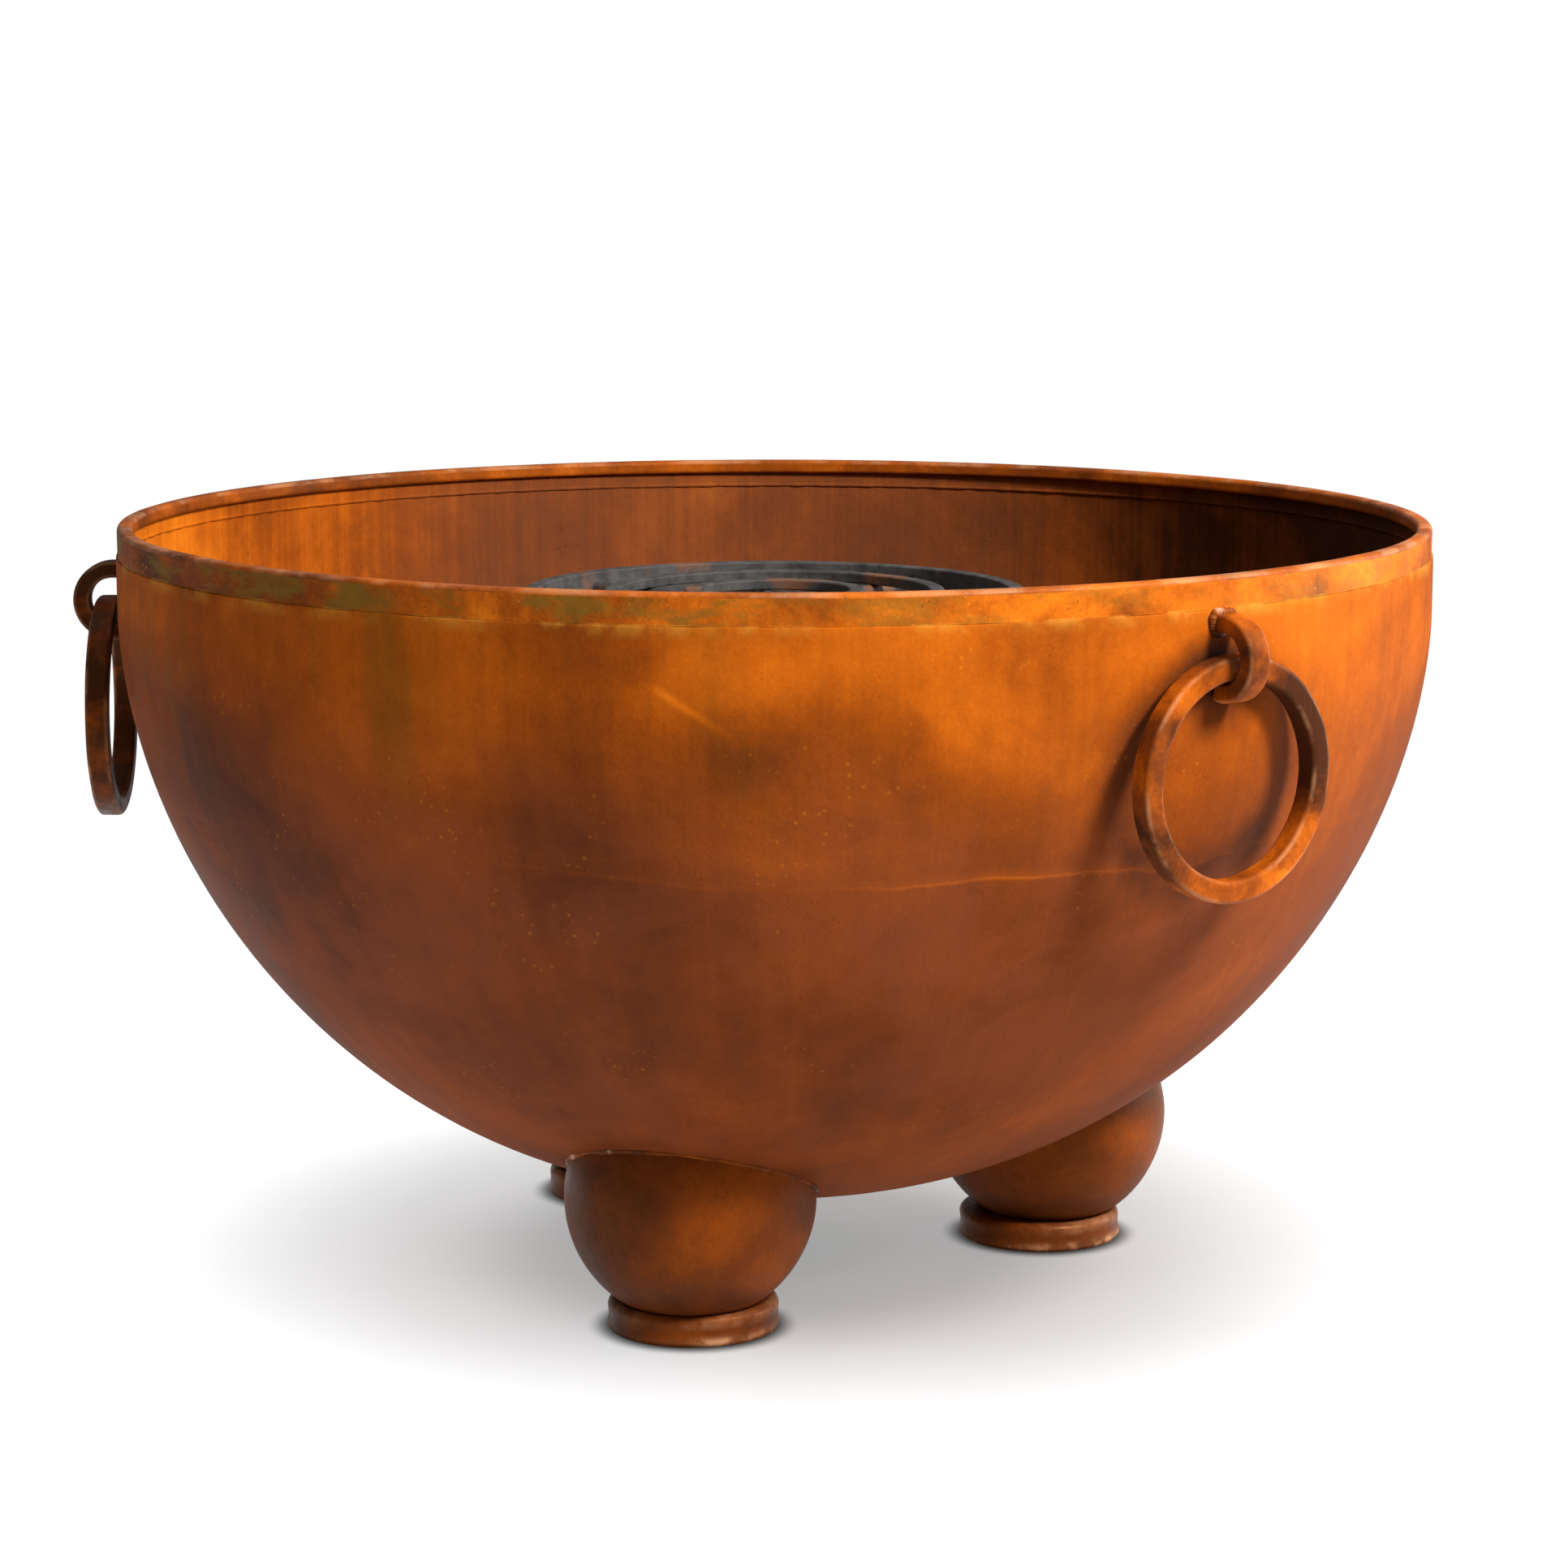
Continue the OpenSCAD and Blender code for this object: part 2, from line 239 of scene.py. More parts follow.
def arc(x, z, radius, start, end, steps, worn):
    """Points of an arc from one angle to another in degrees, as (x, z, wear)."""
    angles = [math.radians(start + (end - start) * s / steps) for s in range(steps + 1)]
    return [(x + radius * math.cos(a), z + radius * math.sin(a), worn) for a in angles]


def round_outline(x0, x1, z0, z1, radius, steps=5, flat=4):
    """A rectangle with round corners, as (x, z, wear), with wear 1 on the corners."""
    corners = [((x1 - radius, z0 + radius), -90), ((x1 - radius, z1 - radius), 0),
               ((x0 + radius, z1 - radius), 90), ((x0 + radius, z0 + radius), 180)]
    out = []
    for k, ((cx, cz), start) in enumerate(corners):
        for s in range(steps + 1):
            a = math.radians(start + 90 * s / steps)
            edge = 1 - abs(2 * s / steps - 1)
            out.append((cx + radius * math.cos(a), cz + radius * math.sin(a), edge))
        (nx, nz), following = corners[(k + 1) % 4]
        a = math.radians(following)
        end = (nx + radius * math.cos(a), nz + radius * math.sin(a))
        begin = out[-1][:2]
        for s in range(1, flat):
            t = s / flat
            out.append((begin[0] + (end[0] - begin[0]) * t, begin[1] + (end[1] - begin[1]) * t, 0.0))
    return out


def dome_radius(z, grow=0.0):
    """The dome's outside radius at a height, with the dome grown outwards."""
    t = min(1.0, max(0.0, (DOME_Z - z) / (DOME_DEPTH + grow)))
    return (BOWL_R + grow) * (1 - t ** CROWN_POWER) ** (1 / SIDE_POWER)


def dome_outline(grow):
    """The shell's outline from the seam to the drain, as (radius, z), with the shell grown outwards."""
    radius, depth = BOWL_R + grow, DOME_DEPTH + grow
    out = [(radius, SEAM_Z - FLANGE * k / FLANGE_STEPS) for k in range(FLANGE_STEPS)]
    for i in range(DOME_STEPS + 1):
        t = math.radians(90 * i / DOME_STEPS)
        r = radius * math.cos(t) ** (2 / SIDE_POWER)
        if r > DRAIN_R:
            out.append((r, DOME_Z - depth * math.sin(t) ** (2 / CROWN_POWER)))
    low = DOME_Z - depth * (1 - (DRAIN_R / radius) ** SIDE_POWER) ** (1 / CROWN_POWER)
    return out + [(DRAIN_R, low)]


def sweep(name, path, section, wear):
    """Sweeps a closed section along a path of (point, side, up) frames, with both ends closed."""
    rows = [[p + side * x + up * y for x, y in section(k)] for k, (p, side, up) in enumerate(path)]
    mesh = grid_mesh(name, rows, False, True, [wear] * len(rows), caps=True)
    fix_normals(mesh)
    return mesh


def bead(name, path, radius, ripple, lumps, seed):
    """A weld bead round a closed path of (point, normal), with a ripple every so many points."""
    sides, spread, ripple_height, lump_scale = 12, 1.15, 0.10, 60
    count = len(path)
    rows = []
    for k, (p, out) in enumerate(path):
        along = (path[(k + 1) % count][0] - path[k - 1][0]).normalized()
        across = along.cross(out).normalized() * spread
        lump = uneven(p * lump_scale + Vector((seed, 0, 0)))
        size = radius * (1 + lumps * lump + ripple_height * math.sin(k * TURN / ripple))
        angles = [TURN * s / sides for s in range(sides)]
        rows.append([p + size * (out * math.cos(a) + across * math.sin(a)) for a in angles])
    mesh = grid_mesh(name, rows, True, True)
    fix_normals(mesh)
    return mesh


# ---------------------------------------------------------------- materials
class Surface:
    """A material's node tree, with a short method for each node that the surfaces here use."""

    def __init__(self, name, metallic=0.0, specular=0.5):
        self.material = bpy.data.materials.new(name)
        self.material.use_nodes = True
        self.tree = self.material.node_tree
        self.tree.nodes.clear()
        self.output = self.node("OutputMaterial")
        self.shader = self.node("BsdfPrincipled", Metallic=metallic, Specular_IOR_Level=specular)
        self.link(self.shader.outputs["BSDF"], self.output.inputs["Surface"])
        self.point = self.node("TexCoord").outputs["Object"]

    def link(self, value, socket):
        """Feeds a socket from another socket, or sets it to a value."""
        if isinstance(value, bpy.types.NodeSocket):
            self.tree.links.new(value, socket)
        else:
            socket.default_value = value

    def node(self, kind, settings=(), **inputs):
        """Adds a node. An input's name has _ where Blender's has a space."""
        made = self.tree.nodes.new("ShaderNode" + kind)
        for key, value in settings:
            setattr(made, key, value)
        for key, value in inputs.items():
            self.link(value, made.inputs[key.replace("_", " ")])
        return made

    def math(self, operation, a, b=0.0):
        """The result of an operation on numbers."""
        made = self.node("Math", [("operation", operation)])
        self.link(a, made.inputs[0])
        self.link(b, made.inputs[1])
        return made.outputs[0]

    def product(self, first, *others):
        for other in others:
            first = self.math("MULTIPLY", first, other)
        return first

    def vector(self, operation, a, b=(0, 0, 0)):
        """The outputs of an operation on vectors: a Vector or a Value, as the operation has it."""
        made = self.node("VectorMath", [("operation", operation)])
        self.link(a, made.inputs[0])
        self.link(b, made.inputs[1])
        return made.outputs

    def distance(self, centre, point=None):
        """How far the point, or another, is from a centre."""
        return self.vector("DISTANCE", point or self.point, centre)["Value"]

    def scaled(self, x, y, z):
        return self.node("Mapping", Vector=self.point, Scale=(x, y, z)).outputs[0]

    def noise(self, point, scale, detail=4.0, roughness=0.55, distortion=0.0):
        made = self.node("TexNoise", Vector=point, Scale=scale, Detail=detail,
                         Roughness=roughness, Distortion=distortion)
        return made.outputs["Fac"]

    def cells(self, point, scale):
        return self.node("TexVoronoi", Vector=point, Scale=scale).outputs["Distance"]

    def ramp(self, value, *stops, smooth=True):
        """A colour ramp through stops of (place, colour or grey)."""
        made = self.node("ValToRGB", Fac=value)
        bar = made.color_ramp
        bar.interpolation = "EASE" if smooth else "LINEAR"
        while len(bar.elements) < len(stops):
            bar.elements.new(0.5)
        for element, (place, colour) in zip(bar.elements, stops):
            element.position = place
            element.color = (*colour, 1.0) if isinstance(colour, tuple) else (colour, colour, colour, 1.0)
        return made.outputs["Color"]

    def mix(self, amount, a, b, blend="MIX"):
        """Colour a, blended with colour b by an amount from 0 to 1."""
        made = self.node("Mix", [("data_type", "RGBA"), ("blend_type", blend)])
        self.link(amount, made.inputs[0])
        for value, socket in ((a, made.inputs[6]), (b, made.inputs[7])):
            self.link((*value, 1.0) if isinstance(value, tuple) else value, socket)
        return made.outputs[2]

    def map_range(self, value, low, high, to_low=0.0, to_high=1.0, kind="LINEAR"):
        made = self.node("MapRange", [("interpolation_type", kind)], Value=value,
                         From_Min=low, From_Max=high, To_Min=to_low, To_Max=to_high)
        return made.outputs["Result"]

    def wear(self):
        """How exposed an edge is, from 0 to 1."""
        return self.node("Attribute", [("attribute_name", "wear")]).outputs["Fac"]

    def height(self):
        """Height above the ground at rest."""
        return self.node("SeparateXYZ", Vector=self.point).outputs["Z"]

    def outward(self):
        """The direction out from the bowl's axis, level."""
        return self.vector("NORMALIZE", self.scaled(1, 1, 0))["Vector"]

    def streaks(self, count, length):
        """A vector that stretches noise into vertical runs round the bowl."""
        parts = self.node("SeparateXYZ", Vector=self.outward()).outputs
        made = self.node("CombineXYZ", X=self.product(parts["X"], count), Y=self.product(parts["Y"], count),
                         Z=self.product(self.height(), length))
        return made.outputs[0]

    def bump(self, height, distance, below=None):
        """Normals bent by a height, on top of the normals below."""
        made = self.node("Bump", Height=height, Distance=distance)
        if below is not None:
            self.link(below, made.inputs["Normal"])
        return made.outputs["Normal"]

    def finish(self, colour, roughness, normal=None):
        """Feeds the shader, and gives the material."""
        self.link(colour, self.shader.inputs["Base Color"])
        self.link(roughness, self.shader.inputs["Roughness"])
        if normal is not None:
            self.link(normal, self.shader.inputs["Normal"])
        return self.material


# Rust colours, from the deepest to the brightest, and the tints that lie on them
SOOT = (0.012, 0.006, 0.003)
DEEP = (0.045, 0.012, 0.004)
UMBER = (0.135, 0.028, 0.004)
RUSSET = (0.250, 0.049, 0.003)
ORANGE = (0.420, 0.088, 0.004)
BRIGHT = (0.600, 0.145, 0.006)
GLOW = (0.720, 0.240, 0.015)
OLIVE = (0.105, 0.060, 0.005)
MOSS = (0.150, 0.082, 0.010)
PURPLE = (0.175, 0.045, 0.020)
PINK = (0.520, 0.250, 0.120)
YELLOW = (0.560, 0.270, 0.035)
SMOKE = (0.105, 0.040, 0.022)
SPATTER = (0.46, 0.27, 0.17)
SHEEN = (1.0, 0.50, 0.22, 1.0)

# The sides of the bowl where it differs from the rest. PAINTED_LIGHT_SIDE is the side towards the key lamp.
# Colours there are painted lighter as painted light, and darker on the far side as painted shade
PAINTED_LIGHT_SIDE = bearing_point(math.radians(80), 1.0)
OLIVE_SIDE = bearing_point(math.radians(-48), 1.0)
# INSIDE_PAINTED_LIGHT_SIDE is where the inside wall faces the key lamp: painted lighter there as painted
# light, and darker opposite as painted shade.
INSIDE_PAINTED_LIGHT_SIDE = bearing_point(math.radians(-88), 1.0)
SMOKY_SIDE = bearing_point(math.radians(-158), 1.0)

# Where the bowl has weathered darker or brighter: bearing, height, size and how much
STAINS = ((-38, 0.455, 0.20, -0.18), (3, 0.465, 0.16, -0.24), (18, 0.455, 0.10, -0.22),
          (10, 0.30, 0.19, -0.13), (26, 0.27, 0.17, -0.08), (55, 0.32, 0.11, -0.08),
          (23, 0.56, 0.19, 0.14), (19, 0.40, 0.10, 0.08), (64, 0.59, 0.24, 0.10),
          (-18, 0.17, 0.10, 0.10), (150, 0.45, 0.22, -0.14), (-120, 0.36, 0.25, 0.12),
          (-165, 0.50, 0.18, -0.10))
# Stains, painted shade and painted highlights on the front handle and its hook: bearing, radius, height, size
# and how much. The darkest, at the ring's upper right, and the two dark ones on the hook are painted shade;
# the bright one low on the ring's right is a painted highlight; the rest are lighter and darker patches.
HANDLE_STAINS_AND_PAINTED_LIGHT = ((60.8, 0.540, 0.500, 0.080, -0.85), (60.0, 0.538, 0.405, 0.055, 0.20),
                (50.0, 0.538, 0.535, 0.030, 0.12), (45.5, 0.538, 0.440, 0.085, -0.26),
                (52.0, 0.548, 0.512, 0.034, -0.30), (53.5, 0.556, 0.548, 0.036, -0.22))
# How far noise moves the edges of the bowl's stains, and how much of that moves them as a whole
RAGGED = 0.22
RAGGED_SHIFT = Vector((RAGGED, RAGGED, RAGGED)) / 2
TIDE_Z = 0.398
TIDE_BRIGHTEST = bearing_point(math.radians(36), dome_radius(0.40), 0.40)


class Rust(Surface):
    """Weathered steel. value, from 0 to 1, says how bright the rust is, and colour follows from it."""

    def __init__(self, name, value, specular=0.10):
        super().__init__(name, specular=specular)
        self.shader.inputs["Specular Tint"].default_value = SHEEN
        self.value = value

    def add(self, part, gain, middle=0.5):
        """Adds gain times how far part is from its middle."""
        self.value = self.math("ADD", self.value, self.product(self.math("SUBTRACT", part, middle), gain))

    def patches(self, scale, spread):
        """Soft patches, with smaller ones and mottling in them."""
        self.middle = self.noise(self.point, scale * 4.5, 4, 0.55, 0.4)
        self.add(self.noise(self.scaled(1, 1, 1.6), scale, 4, 0.5, 0.9), 1.3 * spread)
        self.add(self.middle, 0.45 * spread)
        self.add(self.noise(self.point, scale * 22, 3, 0.6), 0.20 * spread)

    def spot(self, centre, size, point=None):
        """1 at a centre, down to 0 at a distance of size from it."""
        return self.ramp(self.distance(centre, point), (0.0, 1.0), (size, 0.0))

    def halo(self, centre, radius, width):
        """1 at a radius from a centre, down to 0 at a width from there."""
        off = self.math("ABSOLUTE", self.math("SUBTRACT", self.distance(centre), radius))
        return self.ramp(off, (0.0, 1.0), (width, 0.0))

    def facing(self, direction):
        """From 1 on the side of the bowl that faces a direction to -1 on the other side."""
        return self.vector("DOT_PRODUCT", self.outward(), direction)["Value"]

    def above(self, level, softness, unevenness):
        """0 below a level and 1 above it, with an uneven edge."""
        lumps = self.noise(self.point, 5.0, 4, 0.5, 0.7)
        shift = self.product(self.math("SUBTRACT", lumps, 0.5), unevenness)
        height = self.math("SUBTRACT", self.math("ADD", self.height(), shift), level)
        return self.map_range(height, -softness, softness, kind="SMOOTHSTEP")

    def colour(self, grain):
        """The rust's colour, speckled by grain."""
        base = self.ramp(self.value, (0.0, DEEP), (0.22, UMBER), (0.42, RUSSET), (0.60, ORANGE),
                         (0.80, BRIGHT), (1.0, GLOW), smooth=False)
        speckle = self.ramp(self.noise(self.point, 330, 3, 0.6), (0.34, 0.84), (0.64, 1.12), smooth=False)
        return self.mix(grain, base, self.mix(1.0, base, speckle, "MULTIPLY"))

    def rubbed(self, colour, amount, tint=PINK):
        """Pale in patches where edges are rubbed."""
        patch = self.ramp(self.noise(self.point, 26, 5, 0.6), (0.44, 0.05), (0.64, 1.0))
        return self.mix(self.product(self.wear(), patch, amount), colour, tint)

    def flecks(self, colour, tint, scale, amount):
        """Small dots of a tint, in patches."""
        dots = self.ramp(self.cells(self.point, scale), (0.08, 1.0), (0.24, 0.0))
        where = self.ramp(self.noise(self.point, scale / 9, 3), (0.52, 0.0), (0.72, amount))
        return self.mix(self.product(dots, where), colour, tint)

    def crust(self, fine=0.00016, coarse=0.0005):
        """Bump of the rust's grain over shallow pits."""
        pits = self.bump(self.noise(self.point, 75, 4, 0.6), coarse)
        return self.bump(self.noise(self.point, 520, 3, 0.65), fine, pits)

    def roughness(self, low, high):
        return self.map_range(self.middle, 0.3, 0.7, low, high)


def stain_bowl(s):
    """The stains of the weather, then a dark ring on the wall behind each handle, partly a rub stain and
    partly painted shadow of the ring, and a dark spot under each hook, partly dirt and partly painted shade.
    """
    cloud = s.node("TexNoise", Vector=s.point, Scale=6.0, Detail=4.0).outputs["Color"]
    moved = s.vector("MULTIPLY", cloud, (RAGGED, RAGGED, RAGGED))["Vector"]
    ragged = s.vector("ADD", s.point, moved)["Vector"]
    for bearing, height, size, gain in STAINS:
        centre = bearing_point(math.radians(bearing), dome_radius(height), height)
        s.add(s.spot(centre + RAGGED_SHIFT, size, ragged), gain, 0.0)
    blotch = s.ramp(s.noise(s.point, 9.0, 4, 0.6), (0.32, 0.35), (0.60, 1.0))
    for pivot in HINGES.values():
        out = level_out(pivot)
        height = pivot.z - HANDLE_MIDDLE_R
        behind = out * dome_radius(height) + UP * height
        # Dark ring behind the handle: a rub stain and painted shadow of the ring.
        s.add(s.product(s.halo(behind, HANDLE_MIDDLE_R, 30 * MM), blotch), -0.34, 0.0)
        # Dark spot under the hook: dirt and painted shade under it.
        s.add(s.spot(out * BOWL_R + UP * (pivot.z - 12 * MM), 55 * MM), -0.50, 0.0)


def tide_line(s):
    """A faint bright line round the bowl, clearest at one place."""
    level = s.above(TIDE_Z, softness=0.012, unevenness=0.035)
    line = s.ramp(level, (0.30, 0.0), (0.50, 1.0), (0.62, 0.35), (1.0, 0.0))
    faded = s.ramp(s.noise(s.point, 4.5, 2), (0.42, 0.0), (0.66, 1.0))
    s.add(s.product(line, faded), 0.10, 0.0)
    s.add(s.product(line, s.spot(TIDE_BRIGHTEST, 0.17)), 0.20, 0.0)


def scratches(s):
    """A few thin bright lines, along the borders of large cells."""
    borders = s.node("TexVoronoi", [("feature", "DISTANCE_TO_EDGE")],
                     Vector=s.scaled(1.3, 1.3, 0.7), Scale=2.6)
    thin = s.ramp(borders.outputs["Distance"], (0.0, 1.0), (0.010, 0.0))
    few = s.ramp(s.noise(s.point, 6.0, 2), (0.58, 0.0), (0.70, 1.0))
    s.add(s.product(thin, few), 0.16, 0.0)


def bowl_surface():
    """Orange above a tide line, purple-brown below it. It has painted light on the side towards the key lamp,
    and painted shade and olive streaks on the other side.
    """
    s = Rust("bowl_rust", 0.375, specular=0.05)
    s.patches(2.1, 0.80)
    # Painted light: lighter on the side towards the key lamp, and darker as painted shade on the far side.
    s.add(s.facing(PAINTED_LIGHT_SIDE), 0.08, 0.0)
    stain_bowl(s)
    upper = s.above(0.445, softness=0.10, unevenness=0.16)
    s.add(upper, 0.17)
    s.add(s.above(0.16, softness=0.07, unevenness=0.10), -0.10)
    s.add(s.noise(s.streaks(34, 1.6), 1.0, 3, 0.55), 0.12)
    s.add(s.noise(s.streaks(110, 2.5), 1.0, 3, 0.6), 0.05)
    tide_line(s)
    scratches(s)
    colour = s.colour(0.45)
    low = s.product(s.math("SUBTRACT", 1.0, upper), s.ramp(s.middle, (0.38, 0.25), (0.62, 0.75)))
    colour = s.mix(low, colour, s.mix(0.72, colour, PURPLE))
    shaded = s.ramp(s.facing(OLIVE_SIDE), (0.15, 0.0), (0.95, 1.0))
    runs = s.ramp(s.noise(s.streaks(15, 2.6), 1.0, 4, 0.6), (0.48, 0.0), (0.74, 0.50))
    colour = s.mix(s.product(runs, shaded, upper), colour, OLIVE)
    colour = s.flecks(colour, GLOW, 120, 0.20)
    colour = s.flecks(colour, DEEP, 210, 0.5)
    return s.finish(s.rubbed(colour, 0.35, YELLOW), s.roughness(0.55, 0.75), s.crust())


def inside_surface():
    """Streaked by rain, sooty towards the burner, and with painted light where the wall faces the key lamp
    and painted shade opposite.
    """
    s = Rust("bowl_inside_rust", 0.32)
    s.patches(3.0, 0.9)
    s.add(s.noise(s.streaks(42, 1.2), 1.0, 4, 0.6), 0.34)
    s.add(s.noise(s.streaks(130, 2.0), 1.0, 3, 0.6), 0.14)
    # Painted light on the inside wall that faces the key lamp, and painted shade opposite.
    s.add(s.facing(INSIDE_PAINTED_LIGHT_SIDE), 0.27, 0.0)
    colour = s.colour(0.4)
    smoky = s.ramp(s.facing(SMOKY_SIDE), (0.72, 0.0), (0.97, 0.75))
    colour = s.mix(smoky, colour, s.mix(0.7, colour, SMOKE))
    sooty = s.ramp(s.above(0.40, softness=0.16, unevenness=0.20), (0.0, 0.82), (0.95, 0.0))
    colour = s.mix(sooty, colour, SOOT)
    colour = s.flecks(colour, DEEP, 160, 0.6)
    return s.finish(colour, s.roughness(0.60, 0.82), s.crust())


def band_surface():
    """Yellower and mottled, with dark pitting."""
    s = Rust("band_rust", 0.45, specular=0.12)
    s.patches(7.0, 1.1)
    # Painted light on the side towards the key lamp, and painted shade on the far side.
    s.add(s.facing(PAINTED_LIGHT_SIDE), 0.20, 0.0)
    colour = s.colour(0.6)
    moss = s.ramp(s.noise(s.scaled(1, 1, 3), 16, 5, 0.65), (0.44, 0.0), (0.62, 0.85))
    shaded = s.ramp(s.facing(PAINTED_LIGHT_SIDE), (-0.6, 1.0), (0.9, 0.45))
    colour = s.mix(s.product(moss, shaded), colour, MOSS)
    colour = s.flecks(colour, GLOW, 170, 0.8)
    colour = s.flecks(colour, DEEP, 230, 0.9)
    return s.finish(s.rubbed(colour, 0.7, YELLOW), s.roughness(0.45, 0.68), s.crust(0.0002, 0.0009))


def bar_surface(name, value, scale, spread, side, wear, rough, specular=0.22, stains_and_painted_light=()):
    """Forged or rolled bar, dark and rubbed along its edges. side is how much painted light its side towards
    the key lamp gains, and how much painted shade darkens the far side; the spots it is given are stains,
    painted shade and painted highlights.
    """
    s = Rust(name, value, specular)
    s.patches(scale, spread)
    # Painted light towards the key lamp, and painted shade on the far side.
    s.add(s.facing(PAINTED_LIGHT_SIDE), side, 0.0)
    # Spots fixed on the bar: stains, painted shade and painted highlights.
    for bearing, radius, height, size, gain in stains_and_painted_light:
        s.add(s.spot(bearing_point(math.radians(bearing), radius, height), size), gain, 0.0)
    colour = s.flecks(s.colour(0.5), DEEP, 190, 0.7)
    return s.finish(s.rubbed(colour, wear), s.roughness(*rough), s.crust(0.00014, 0.0006))


def weld_surface():
    """Burnt and rusted, with a few bright drops."""
    s = Rust("weld_scale", 0.17, specular=0.25)
    s.patches(16.0, 0.8)
    drops = s.ramp(s.noise(s.point, 42, 3, 0.5), (0.57, 0.0), (0.65, 0.80))
    colour = s.mix(drops, s.colour(0.5), SPATTER)
    return s.finish(colour, s.roughness(0.45, 0.70), s.crust(0.0003, 0.0008))


def black_surface(name, rustiness):
    """Heat-proof black on steel, greyed by ash and rusting through."""
    s = Surface(name, specular=0.4)
    patch = s.noise(s.point, 14, 5, 0.6, 0.4)
    ash = s.noise(s.point, 60, 4, 0.6)
    base = s.ramp(ash, (0.3, (0.020, 0.018, 0.017)), (0.7, (0.060, 0.054, 0.050)))
    bare = s.ramp(patch, (0.62 - rustiness, 0.0), (0.80 - rustiness, 0.85))
    colour = s.mix(bare, base, (0.17, 0.055, 0.016))
    normal = s.bump(s.noise(s.point, 420, 3, 0.6), 0.0003)
    return s.finish(colour, s.ramp(ash, (0.3, 0.55), (0.7, 0.80)), normal)


def stainless_surface(name, heat):
    """Stainless steel, brushed round the axis and tinted by heat."""
    s = Surface(name, metallic=1.0)
    tint = s.noise(s.point, 9, 3, 0.5, 0.5)
    brush = s.noise(s.scaled(90, 90, 900), 1.0, 3, 0.6)
    clean = s.ramp(brush, (0.3, (0.40, 0.38, 0.36)), (0.7, (0.56, 0.54, 0.51)))
    straw = s.ramp(tint, (0.38, (0.32, 0.23, 0.14)), (0.60, (0.20, 0.13, 0.14)))
    colour = s.mix(s.ramp(tint, (0.35, heat * 0.3), (0.65, heat)), clean, straw)
    normal = s.bump(brush, 0.00006)
    return s.finish(colour, s.ramp(brush, (0.3, 0.28), (0.7, 0.46)), normal)


def brass_surface():
    """Brass, dulled in patches."""
    s = Surface("dull_brass", metallic=1.0)
    tarnish = s.noise(s.point, 60, 4, 0.6)
    colour = s.ramp(tarnish, (0.35, (0.46, 0.31, 0.11)), (0.65, (0.24, 0.15, 0.06)))
    return s.finish(colour, s.ramp(tarnish, (0.3, 0.30), (0.7, 0.55)), s.bump(tarnish, 0.0001))


def lava_surface():
    """Dark porous stone."""
    s = Surface("lava_stone", specular=0.25)
    patch = s.noise(s.point, 30, 5, 0.65)
    pores = s.cells(s.point, 230)
    base = s.ramp(patch, (0.32, (0.020, 0.015, 0.014)), (0.55, (0.055, 0.036, 0.032)),
                  (0.72, (0.110, 0.052, 0.040)))
    colour = s.mix(s.ramp(pores, (0.10, 1.0), (0.35, 0.0)), base, (0.010, 0.007, 0.006))
    normal = s.bump(pores, 0.0016, s.bump(s.noise(s.point, 300, 4, 0.7), 0.0008))
    return s.finish(colour, s.ramp(patch, (0.3, 0.85), (0.7, 0.97)), normal)


bowl_out = bowl_surface()
bowl_in = inside_surface()
band_rust = band_surface()
# side= gives each bar painted light towards the key lamp and painted shade on its far side.
rim_rust = bar_surface("rim_rust", 0.42, scale=9.0, spread=0.8, side=0.10, wear=0.55, rough=(0.40, 0.60))
foot_rust = bar_surface("foot_rust", 0.16, scale=9.0, spread=0.7, side=0.05, wear=0.9, rough=(0.28, 0.50))
cup_rust = bar_surface("cup_rust", 0.17, scale=5.0, spread=0.65, side=0.06, wear=0.0, rough=(0.42, 0.62),
                       specular=0.16)
handle_rust = bar_surface("handle_rust", 0.17, scale=12.0, spread=1.2, side=0.17, wear=0.38,
                          rough=(0.34, 0.58), specular=0.10, stains_and_painted_light=HANDLE_STAINS_AND_PAINTED_LIGHT)
weld = weld_surface()
black_steel = black_surface("black_steel", rustiness=0.0)
grate_steel = black_surface("grate_steel", rustiness=0.12)
stainless = stainless_surface("stainless", heat=0.6)
burner_steel = stainless_surface("burner_steel", heat=0.9)
brass = brass_surface()
pipe_iron = black_surface("pipe_iron", rustiness=0.05)
lava_stone = lava_surface()


# ---------------------------------------------------------------- bowl and rim
def bowl():
    """The spun plate, with its outer edge rounded and uneven at the seam."""
    corner, corner_steps = 1.2 * MM, 4
    angles = [math.radians(90 - 90 * k / corner_steps) for k in range(corner_steps + 1)]
    outer = [(BOWL_R - corner + corner * math.cos(a), SEAM_Z - corner + corner * math.sin(a), 1.0)
             for a in angles]
    outer += [(r, z, 0.5 if k == 0 else 0.0) for k, (r, z) in enumerate(dome_outline(0.0)[1:])]
    outline = outer + [(r, z, 0.0) for r, z in reversed(dome_outline(-PLATE))]

    def reshape(point, outward, worn):
        ledge = wobble(point, scale=18, depth=0.5 * MM) if worn else 0.0
        return point + outward * wobble(point, scale=5, depth=0.35 * MM, inset=0.4 * MM) - UP * abs(ledge)

    mesh = revolve("bowl", outline, BOWL_SEGMENTS, reshape)
    second_material(mesh, len(outline), range(len(outer), len(outline)))
    add_piece("bowl", mesh, "bowl", [bowl_out, bowl_in], ["bowl_shell"])


def rim_waver(point):
    """How far the band and the ring above it stray together from a true circle."""
    return wobble(point, scale=12, depth=0.45 * MM, inset=0.45 * MM, seed=11)


